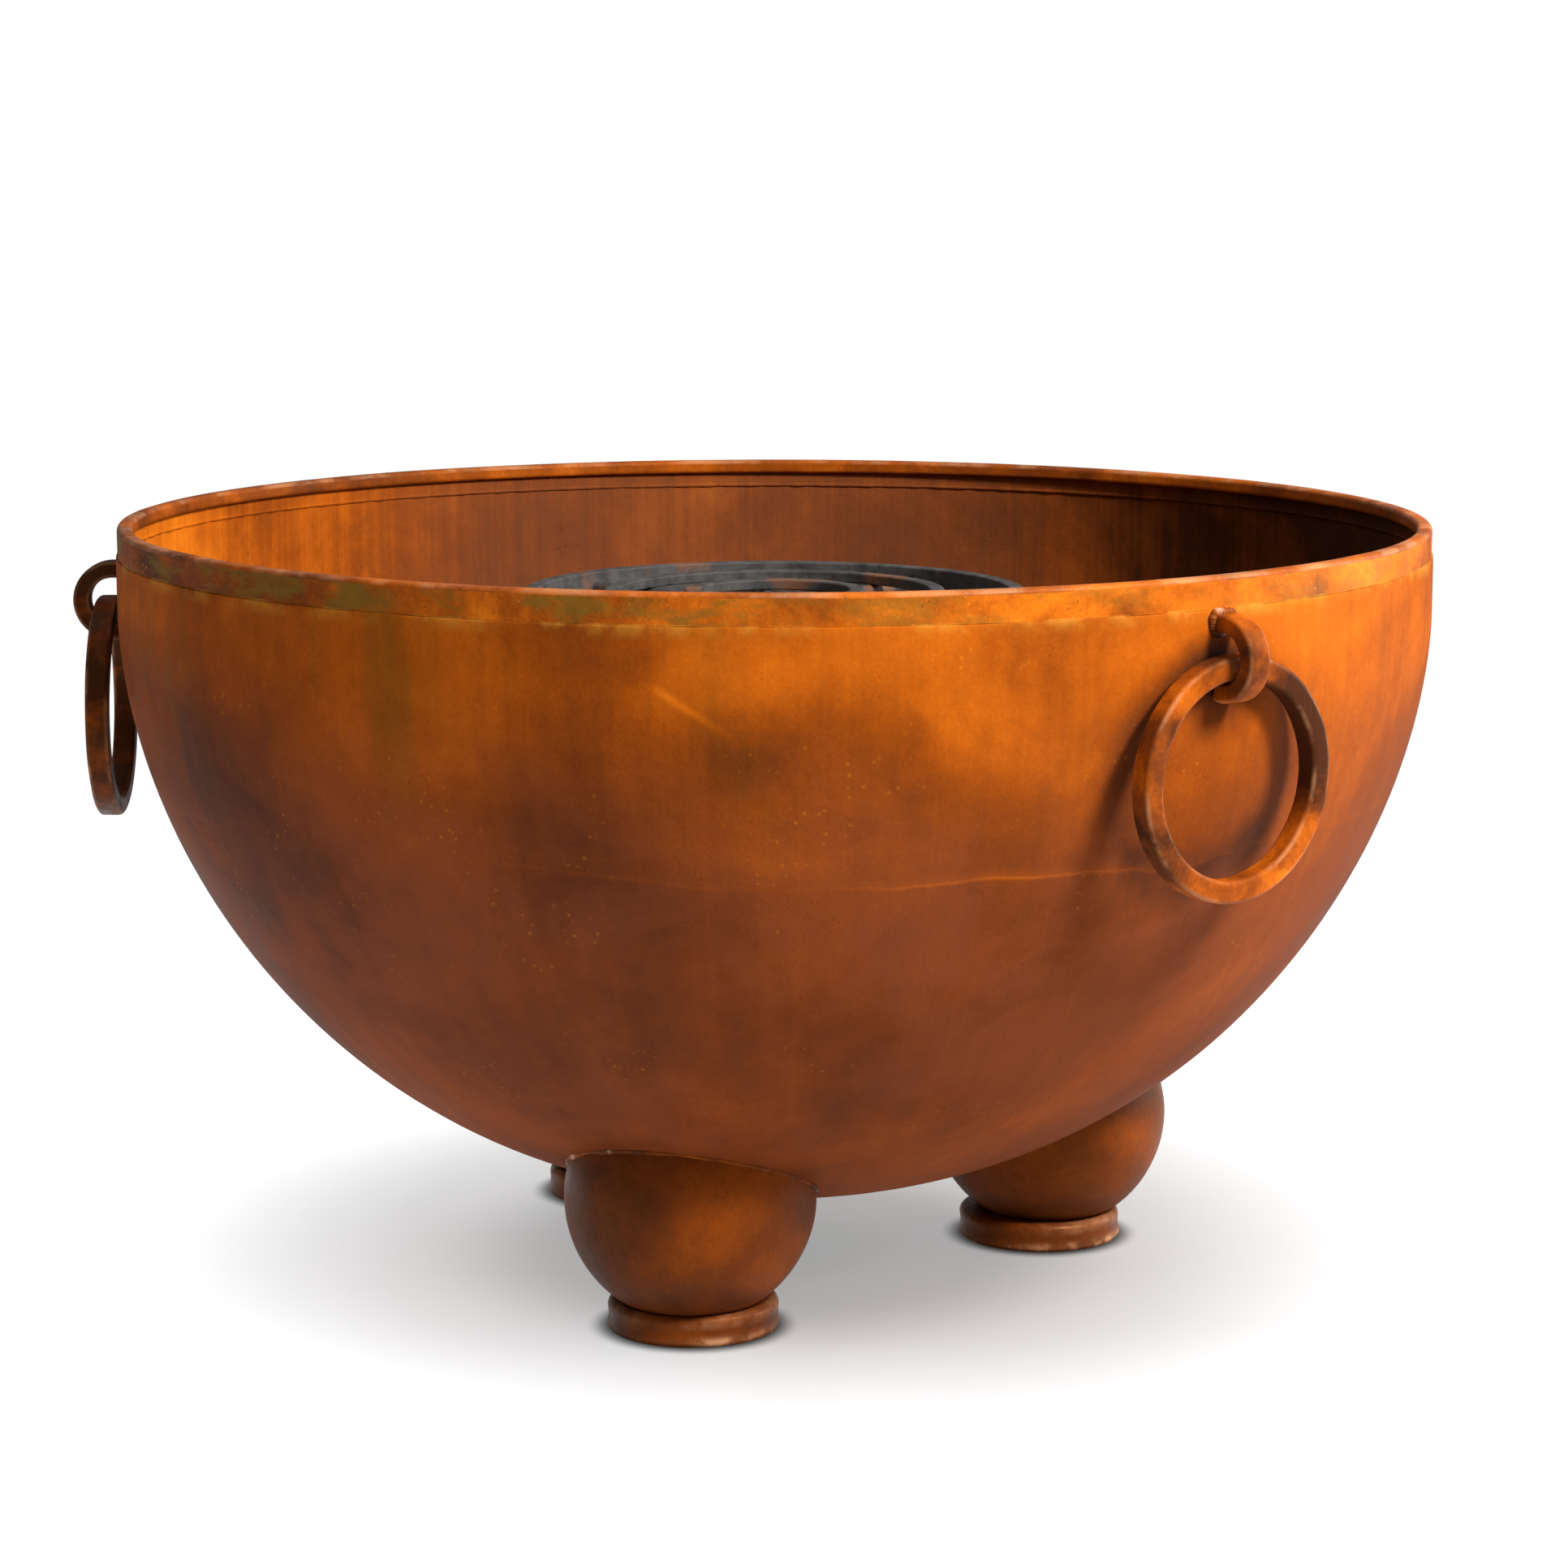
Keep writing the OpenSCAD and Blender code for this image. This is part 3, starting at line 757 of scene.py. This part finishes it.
def rim():
    """The ring on the band: flush with it outside, and round elsewhere."""
    outer = BOWL_R - BAND_STEP
    steps, flat = 5, 4
    crest_z = RIM_Z - 3 * MM
    crest_wear = 0.7
    round_part = round_outline(BOWL_R - RIM_WIDTH, outer, BAND_Z, RIM_Z, RIM_CORNER, steps, flat)[steps + 1:]
    outline = [(outer, BAND_Z, 0.0)]
    outline += [(x, z, max(w, crest_wear) if z > crest_z else 0.0) for x, z, w in round_part]

    def reshape(point, outward, _worn):
        above_joint = point.z > BAND_Z + MM
        lift = wobble(point, scale=11, depth=0.2 * MM, inset=0.2 * MM, seed=3) if above_joint else 0.0
        return point + outward * rim_waver(point) + UP * lift

    mesh = revolve("rim", outline, RIM_SEGMENTS, reshape)
    second_material(mesh, len(outline), range(flat))
    add_piece("rim", mesh, "bowl", [rim_rust, band_rust], ["rim_ring"])


def band():
    """A flat strip between the seam and the ring, rusted like the bowl inside."""
    outer, inner = BOWL_R - BAND_STEP, BOWL_R - BAND_STEP - PLATE
    heights = [SEAM_Z + (BAND_Z - SEAM_Z) * k / BAND_STEPS for k in range(BAND_STEPS + 1)]
    outline = [(outer, z, 1.0 if k == 0 else 0.0) for k, z in enumerate(heights)]
    outline += [(inner, z, 0.0) for z in reversed(heights)]

    def reshape(point, outward, _worn):
        return point + outward * rim_waver(point)

    mesh = revolve("band", outline, RIM_SEGMENTS, reshape)
    second_material(mesh, len(outline), range(len(heights), len(outline)))
    add_piece("band", mesh, "bowl", [band_rust, bowl_in], ["rim_band"])


def seam_bead():
    """The weld in the seam, inside the bowl."""
    count = 900
    radius = BOWL_R - PLATE - BAND_STEP / 2
    path = []
    for k in range(count):
        a = TURN * k / count
        outward = Vector((math.cos(a), math.sin(a), 0.0))
        path.append((outward * radius + UP * SEAM_Z, -outward))
    mesh = bead("seam_bead", path, 1.6 * MM, ripple=6, lumps=0.25, seed=5)
    add_piece("seam_bead", mesh, "bowl", [bowl_in], ["seam_weld"])


# ---------------------------------------------------------------- feet
def foot_centre(k):
    """The centre of foot k's ring on the ground."""
    low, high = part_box(f"foot_ring_{k}")
    return Vector(((low.x + high.x) / 2, (low.y + high.y) / 2, 0.0))


def cup_centre(k):
    """The centre of foot k's ball, which stands a little further out than the ring."""
    ground = foot_centre(k)
    return ground + level_out(ground) * CUP_SHIFT + UP * CUP_Z


def ball_point(centre, radius, around, up):
    """A point on a ball, at an angle round it and an angle up from its bottom."""
    flat = math.sin(up)
    return centre + radius * Vector((flat * math.cos(around), flat * math.sin(around), -math.cos(up)))


def inside_dome(point, grow):
    """Whether a point is inside the dome's outside surface, with the dome grown outwards."""
    return point.z > DOME_Z - DOME_DEPTH - grow and point.xy.length < dome_radius(point.z, grow)


def meeting_angle(centre, radius, around, grow):
    """How far up from its bottom a ball's surface goes before it meets the dome, by halving."""
    halvings = 40
    low, high = 0.0, math.pi
    for _ in range(halvings):
        mid = (low + high) / 2
        if inside_dome(ball_point(centre, radius, around, mid), grow):
            high = mid
        else:
            low = mid
    return low


def cup(k):
    """A hollow ball that ends in the bowl. Each row of points goes up its outside and down its inside."""
    centre = cup_centre(k)
    steps, count = 44, 128
    rows = []
    for i in range(count):
        around = TURN * i / count
        row = []
        for radius, order in ((CUP_R, range(steps + 1)), (CUP_R - CUP_WALL, range(steps, -1, -1))):
            top = meeting_angle(centre, radius, around, -CUP_SINK)
            for s in order:
                p = ball_point(centre, radius, around, top * s / steps)
                dent = wobble(p, scale=12, depth=0.5 * MM, inset=0.5 * MM, seed=k)
                row.append(p + (p - centre).normalized() * dent)
        rows.append(row)
    mesh = grid_mesh(f"cup_{k}", rows, True, False)
    fix_normals(mesh, merge=True)
    add_piece(f"cup_{k}", mesh, "bowl", [cup_rust], [f"foot_cup_{k}"])


def foot_bead(k):
    """The weld where a cup meets the bowl."""
    centre = cup_centre(k)
    count = 420
    path = []
    for i in range(count):
        around = TURN * i / count
        p = ball_point(centre, CUP_R, around, meeting_angle(centre, CUP_R, around, 0.0))
        off_ball = (p - centre).normalized()
        off_bowl = level_out(p) * 0.5 - UP * 0.85
        path.append((p, (off_ball + off_bowl).normalized()))
    mesh = bead(f"foot_bead_{k}", path, 1.7 * MM, ripple=7, lumps=0.8, seed=20 + k)
    add_piece(f"foot_bead_{k}", mesh, "bowl", [weld], [f"foot_weld_{k}"])


def foot_ring(k):
    """Bar rolled into a ring, with a slight waist, coped to the cup."""
    ground, centre = foot_centre(k), cup_centre(k)
    edge, crest, crest_inset, waist = 4 * MM, 6 * MM, 0.7 * MM, 1.2 * MM
    edge_wear, crest_wear = 1.0, 0.25
    r_in, r_out, high = FOOT_RING_R - FOOT_RING_W, FOOT_RING_R, FOOT_RING_H
    crest_x = r_out - crest_inset - crest
    flat, wall, turn_steps = 8, 6, 8
    outline = [(r_in + (r_out - edge - r_in) * s / flat, 0.0, 0.0) for s in range(flat)]
    outline += arc(r_out - edge, edge, edge, -90, 15, turn_steps, edge_wear)
    outline += [(r_out - waist * 0.8, high * 0.36, 0.1), (r_out - waist, high * 0.45, 0.0),
                (r_out - waist, high * 0.55, 0.0)]
    outline += arc(crest_x, high - crest, crest, -8, 90, turn_steps, crest_wear)
    outline += [(crest_x + (r_in + crest - crest_x) * s / flat, high, 0.0) for s in range(1, flat)]
    outline += arc(r_in + crest, high - crest, crest, 90, 180, turn_steps, 0.0)
    outline += [(r_in, (high - crest) * (1 - s / wall), 0.0) for s in range(1, wall)]

    def reshape(point, outward, _worn):
        p = ground + point
        sideways = wobble(p, scale=22, depth=0.9 * MM, inset=0.7 * MM, seed=40 + k)
        sag = wobble(p, scale=16, depth=0.8 * MM, seed=50 + k) * min(1.0, point.z / high) - 0.4 * MM
        on_ground = point.z <= 0.5 * MM
        p = p + outward * sideways + UP * (0.0 if on_ground else min(0.0, sag))
        gap = p - centre
        return centre + gap.normalized() * CUP_R if gap.length < CUP_R else p

    mesh = revolve(f"foot_{k}", outline, 144, reshape)
    add_piece(f"foot_{k}", mesh, "bowl", [foot_rust], [f"foot_ring_{k}"])


# ---------------------------------------------------------------- hooks and ring handles
def hook_frame(k):
    """The centre of a hook's curl, and the directions outwards and sideways."""
    pivot = HINGES[f"handle_{k}"]
    out = level_out(pivot)
    centre = out * (BOWL_R + HOOK_GAP) + UP * (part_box(f"handle_hook_{k}")[1].z - HOOK_R)
    return centre, out, UP.cross(out)


def hook(k):
    """A flat bar that runs straight out from the bowl, then curls down and back under the ring."""
    centre, out, side = hook_frame(k)
    root_steps, curl_steps = 8, 40
    path = []
    for s in range(root_steps):
        x = -(HOOK_GAP + HOOK_ROOT) * (1 - s / root_steps)
        path.append((centre + out * x + UP * HOOK_MIDDLE_R, side, UP))
    for s in range(curl_steps + 1):
        a = HOOK_START + (HOOK_TIP - HOOK_START) * s / curl_steps
        away = out * math.cos(a) + UP * math.sin(a)
        path.append((centre + away * HOOK_MIDDLE_R, side, away))
    outline = round_outline(-HOOK_W / 2, HOOK_W / 2, -HOOK_BAR / 2, HOOK_BAR / 2, HOOK_CORNER, 5, 5)
    step_length = HOOK_MIDDLE_R * (HOOK_START - HOOK_TIP) / curl_steps
    tip_length, tip_size = 3 * MM, 0.80

    def section(i):
        left = min(1.0, (len(path) - 1 - i) * step_length / tip_length)
        size = tip_size + (1 - tip_size) * math.sqrt(1 - (1 - left) ** 2)
        size *= 1 - 0.02 * (1 + noise.noise(Vector((i * 0.35, k * 9.0, 0))))
        return [(x * size, y * size) for x, y, _ in outline]

    mesh = sweep(f"hook_{k}", path, section, [w for _, _, w in outline])
    add_piece(f"hook_{k}", mesh, "bowl", [handle_rust], [f"handle_hook_{k}"])


def hook_bead(k):
    """The weld round a hook's root."""
    centre, out, side = hook_frame(k)
    root = out * BOWL_R + UP * (centre.z + HOOK_MIDDLE_R)
    beyond, corner = 0.5 * MM, 5 * MM
    half_w, half_h = HOOK_W / 2 + beyond, HOOK_BAR / 2 + beyond
    outline = round_outline(-half_w, half_w, -half_h, half_h, corner, 12, 16)
    path = [(root + side * x + UP * y, out) for x, y, _ in outline]
    mesh = bead(f"hook_bead_{k}", path, 2.8 * MM, ripple=5, lumps=0.5, seed=70 + k)
    add_piece(f"hook_bead_{k}", mesh, "bowl", [weld], [f"hook_weld_{k}"])


def ring_handle(k):
    """A bar bent into a ring, which hangs from its hook."""
    pivot = HINGES[f"handle_{k}"]
    out = level_out(pivot)
    turn = Matrix((UP.cross(out), UP, out)).transposed().to_4x4()
    place = Matrix.Translation(pivot - UP * HANDLE_MIDDLE_R) @ turn
    outline = round_outline(HANDLE_R - HANDLE_BAR, HANDLE_R, -HANDLE_W / 2, HANDLE_W / 2, HANDLE_CORNER, 6, 5)

    def reshape(point, outward, _worn):
        sideways = wobble(point, scale=26, depth=0.35 * MM, inset=0.25 * MM, seed=30 + k)
        return point + outward * sideways + UP * (0.3 * MM * noise.noise(point * 30))

    mesh = revolve(f"ring_{k}", outline, 160, reshape, place)
    add_piece(f"ring_{k}", mesh, f"handle_{k}", [handle_rust], [f"handle_ring_{k}"])


# ---------------------------------------------------------------- lava stones
def stone(radius, seed):
    """A broken stone's points and faces."""
    work = bmesh.new()
    bmesh.ops.create_icosphere(work, subdivisions=2, radius=1.0)
    offset = Vector((seed * 1.7, seed * 0.9, seed * 2.3))
    wide = 1 + 0.25 * noise.noise(offset)
    deep = 1 + 0.25 * noise.noise(offset + Vector((5, 0, 0)))
    points = []
    for v in work.verts:
        lump = 1 + 0.30 * noise.noise(v.co * 1.1 + offset) + 0.16 * noise.noise(v.co * 2.6 + offset)
        points.append(Vector((v.co.x * wide, v.co.y * deep, v.co.z * 0.85)) * radius * lump)
    faces = [tuple(v.index for v in f.verts) for f in work.faces]
    work.free()
    return points, faces


def clear_of_tubes(point, radius):
    """Whether a stone stays clear of the burner's rings, hub and spokes, and within the bed."""
    flat = math.hypot(point.x, point.y)
    for ring in (OUTER_RING_R, INNER_RING_R):
        if math.hypot(flat - ring, point.z - BURNER_Z) < TUBE_R + radius:
            return False
    for a in SPOKE_ANGLES:
        along = point.x * math.cos(a) + point.y * math.sin(a)
        off = point - Vector((along * math.cos(a), along * math.sin(a), BURNER_Z))
        if along > 0 and off.length < SPOKE_R + radius:
            return False
    return LAVA_IN_R + radius < flat < LAVA_R - radius


def lava():
    """Stones in a sunflower spiral in each layer, left out where the burner's tubes are."""
    low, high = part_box("lava_bed")
    golden = math.pi * (3 - math.sqrt(5))
    layer_turn, packing = 1.3, 0.85
    highest, lowest = high.z + 6 * MM, low.z + 0.2 * MM
    points, faces = [], []
    number = 0
    for layer, (base, count) in enumerate(LAVA_LAYERS):
        for i in range(count):
            number += 1
            flat = LAVA_IN_R + (LAVA_R - LAVA_IN_R) * math.sqrt((i + 0.5) / count)
            a = golden * i + layer * layer_turn
            size = STONE_R + 2 * MM * noise.noise(Vector((number * 0.77, 0, 0)))
            where = Vector((flat * math.cos(a), flat * math.sin(a), low.z + base))
            if where.z + size > highest or not clear_of_tubes(where, size * packing):
                continue
            shape, sides = stone(size, number)
            turn = Matrix.Rotation(number * 1.9, 3, "Z") @ Matrix.Rotation(number * 0.7, 3, "X")
            start = len(points)
            points += [where + turn @ p for p in shape]
            faces += [tuple(start + v for v in f) for f in sides]
    points = [Vector((p.x, p.y, max(p.z, lowest))) for p in points]
    mesh = bpy.data.meshes.new("stones")
    mesh.from_pydata(points, [], faces)
    mesh.update()
    add_piece("stones", mesh, "bowl", [lava_stone], ["lava_bed"], sharp=60)


# ---------------------------------------------------------------- nodes shown as the CAD made them
def dress(material, slot, *nodes):
    """Gives a material to CAD nodes that keep their own shape."""
    for node in nodes:
        piece = frame["nodes"][node]
        piece.data.materials.clear()
        piece.data.materials.append(material)
        piece.data.shade_smooth()
        piece.data.set_sharp_from_angle(angle=math.radians(35))


bowl()
rim()
band()
seam_bead()
lava()
for k in NUMBERS:
    cup(k)
    foot_bead(k)
    foot_ring(k)
    hook(k)
    hook_bead(k)
    ring_handle(k)
dress(black_steel, "black_steel", "stand_ring", "stand_legs", "stand_brace")
dress(stainless, "stainless", "burner_pan")
dress(burner_steel, "burner_steel", "burner_outer_ring", "burner_inner_ring", "burner_spokes", "burner_hub")
dress(brass, "brass", "pan_locknuts", "gas_inlet")
dress(pipe_iron, "pipe_iron", "gas_riser", "gas_elbow")
dress(grate_steel, "grate_steel",
      "grate_hoop", "grate_mid_ring", "grate_inner_ring", "grate_bars", "grate_hub")


# ---------------------------------------------------------------- floor, light and camera
def floor():
    """A pale floor that fades into a white surround, with a painted shadow under the bowl and round each
    foot, in its paint and in its glow.
    """
    sides = 96
    points = [bearing_point(TURN * i / sides, FLOOR_R) for i in range(sides)]
    mesh = bpy.data.meshes.new("floor")
    mesh.from_pydata(points, [], [tuple(range(sides))])
    s = Surface("floor_paint", specular=0.2)
    distance = s.vector("LENGTH", s.point)["Value"]
    fade = s.ramp(s.math("DIVIDE", distance, FLOOR_R), (0.28, 0.0), (0.80, 1.0))
    paint = s.ramp(s.noise(s.point, 300, 3), (0.3, (0.655, 0.665, 0.675)), (0.7, (0.675, 0.685, 0.695)))
    # The glow is dimmer under the bowl: a painted shadow.
    glow = s.ramp(distance, (0.0, (0.285, 0.315, 0.318)), (0.16, (0.345, 0.365, 0.368)),
                  (0.31, (0.550, 0.565, 0.568)), (0.60, (0.560, 0.565, 0.565)))
    # A painted shadow round each foot, in both the paint and the glow.
    for k in NUMBERS:
        near = s.distance(foot_centre(k))
        painted_shadow = s.ramp(near, (FOOT_RING_R - 4 * MM, 0.10), (FOOT_RING_R + 16 * MM, 1.0))
        paint = s.mix(1.0, paint, painted_shadow, "MULTIPLY")
        glow = s.mix(1.0, glow, painted_shadow, "MULTIPLY")
    s.link(glow, s.shader.inputs["Emission Color"])
    s.link(1.0, s.shader.inputs["Emission Strength"])
    mesh.materials.append(s.finish(paint, 0.6))
    clear = s.node("BsdfTransparent")
    blend = s.node("MixShader")
    s.link(fade, blend.inputs[0])
    s.link(s.shader.outputs["BSDF"], blend.inputs[1])
    s.link(clear.outputs["BSDF"], blend.inputs[2])
    s.link(blend.outputs["Shader"], s.output.inputs["Surface"])
    piece = show("floor", mesh)
    piece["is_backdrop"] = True
    return piece


def surround():
    """A white sphere that only the camera sees."""
    mesh = bpy.data.meshes.new("surround")
    work = bmesh.new()
    bmesh.ops.create_uvsphere(work, u_segments=48, v_segments=24, radius=SURROUND_R)
    work.to_mesh(mesh)
    work.free()
    material = bpy.data.materials.new("surround_white")
    material.use_nodes = True
    tree = material.node_tree
    tree.nodes.clear()
    glow = tree.nodes.new("ShaderNodeEmission")
    out = tree.nodes.new("ShaderNodeOutputMaterial")
    tree.links.new(glow.outputs[0], out.inputs["Surface"])
    mesh.materials.append(material)
    piece = show("surround", mesh)
    piece.visible_diffuse = piece.visible_glossy = piece.visible_transmission = False
    piece.visible_shadow = piece.visible_volume_scatter = False
    piece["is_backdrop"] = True


def softbox(name, bearing, elevation, distance, size, power):
    """A rectangular light at a bearing and an elevation in degrees, aimed at the bowl."""
    light = bpy.data.lights.new(name, "AREA")
    light.shape = "RECTANGLE"
    light.size, light.size_y = size
    light.energy = power
    piece = show(name, light)
    high = math.radians(elevation)
    level = bearing_point(math.radians(bearing), distance * math.cos(high))
    piece.location = level + LIGHTS_AIM + UP * (distance * math.sin(high))
    piece.rotation_euler = (LIGHTS_AIM - piece.location).to_track_quat("-Z", "Y").to_euler()
    return piece


def shine_on(light, pieces):
    """Keeps a light to some pieces, so that the floor's shadow is soft and even."""
    lit = bpy.data.collections.new("lit_by_" + light.name)
    for piece in pieces:
        lit.objects.link(piece)
    light.light_linking.receiver_collection = lit


def ambient(strength):
    """A dim, slightly warm light from all round."""
    world = bpy.data.worlds.new("studio")
    world.use_nodes = True
    background = world.node_tree.nodes["Background"]
    background.inputs["Color"].default_value = (1.0, 0.985, 0.97, 1.0)
    background.inputs["Strength"].default_value = strength
    bpy.context.scene.world = world


def camera():
    """The photograph's camera."""
    data = bpy.data.cameras.new("camera")
    data.lens, data.sensor_width, data.shift_x = LENS, SENSOR, SHIFT_X
    piece = show("camera", data)
    piece.location = bearing_point(VIEW_BEARING, VIEW_DISTANCE, VIEW_HEIGHT)
    piece.rotation_euler = (math.pi / 2 - VIEW_PITCH, 0, VIEW_BEARING)
    bpy.context.scene.camera = piece


ground = floor()
surround()
ambient(0.24)
softbox("overhead", bearing=16, elevation=80, distance=3.0, size=(3.2, 3.2), power=34)
floor_wash = softbox("floor_wash", bearing=16, elevation=85, distance=3.2, size=(4.0, 4.0), power=228)
key_right = softbox("key_right", bearing=66, elevation=38, distance=3.2, size=(0.65, 0.65), power=170)
side_right = softbox("side_right", bearing=122, elevation=14, distance=3.0, size=(0.8, 1.8), power=45)
shine_on(floor_wash, [ground])
shine_on(key_right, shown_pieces())
shine_on(side_right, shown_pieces())
camera()
bpy.context.scene.view_settings.view_transform = "Standard"
